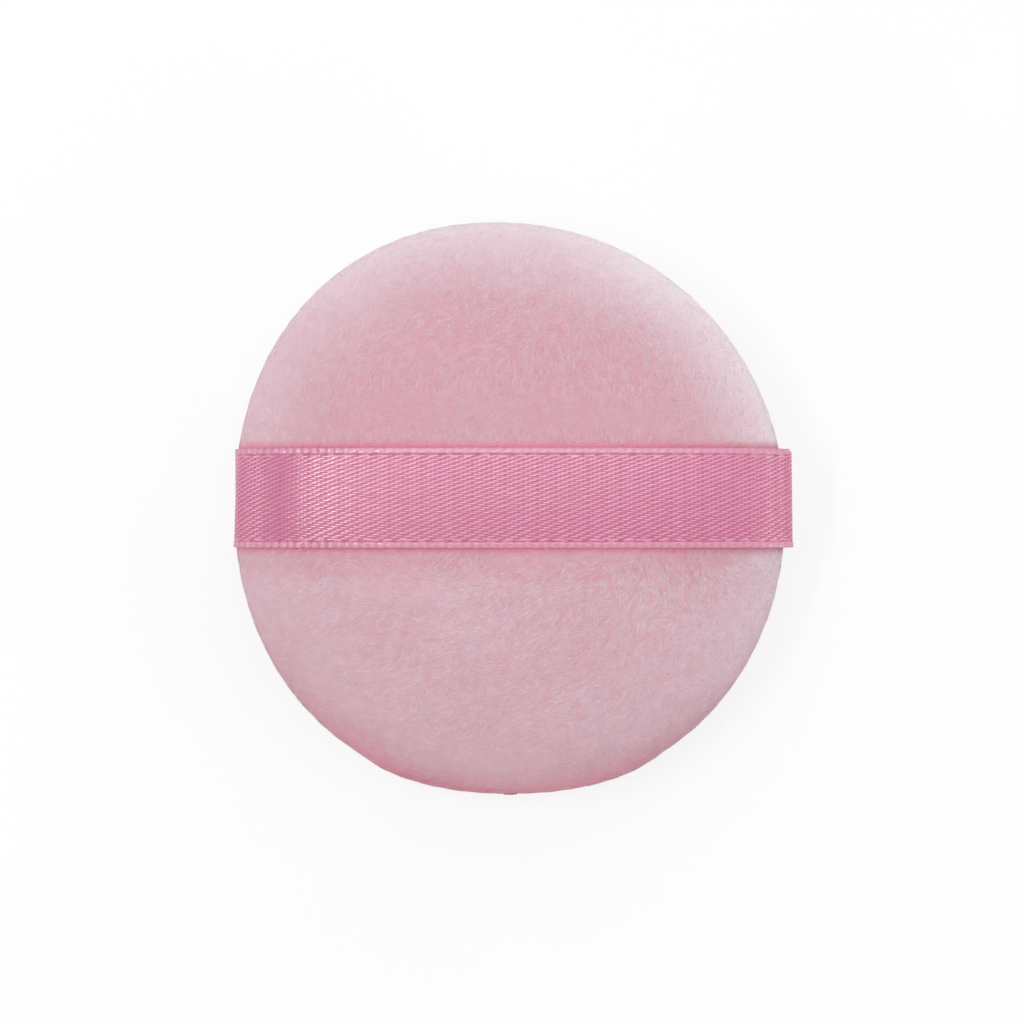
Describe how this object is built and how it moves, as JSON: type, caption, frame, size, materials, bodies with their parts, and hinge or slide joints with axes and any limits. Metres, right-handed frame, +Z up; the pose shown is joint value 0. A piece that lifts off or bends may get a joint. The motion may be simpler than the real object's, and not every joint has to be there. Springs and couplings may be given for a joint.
{
  "type": "powder puff",
  "caption": "Round velour powder puff: a crowned, foam-filled pad with a satin ribbon finger band sewn into its rim seam and lying across the back.",
  "frame": {"origin": "on the surface the puff lies on, under the middle of the pad", "axes": "+Z up, from the powder face to the band side; +X along the finger band; +Y across it, towards the top of the picture"},
  "size_m": [0.069, 0.0701, 0.0178],
  "materials": {
    "velour": "matte",
    "satin": "satin",
    "foam": "matte",
    "thread": "matte"
  },
  "bodies": {
    "pad": {"back_cover": "velour", "front_cover": "velour", "foam_core": "foam", "band_tail_left": "satin", "band_tail_right": "satin", "needle_thread": "thread", "bobbin_thread": "thread", "closing_thread": "thread"},
    "band": {"finger_band": "satin"}
  },
  "joints": [
    {"name": "band_lift", "type": "slide", "parent": "pad", "child": "band", "axis": [0, 0, 1], "range_m": [0, 0.006]}
  ]
}
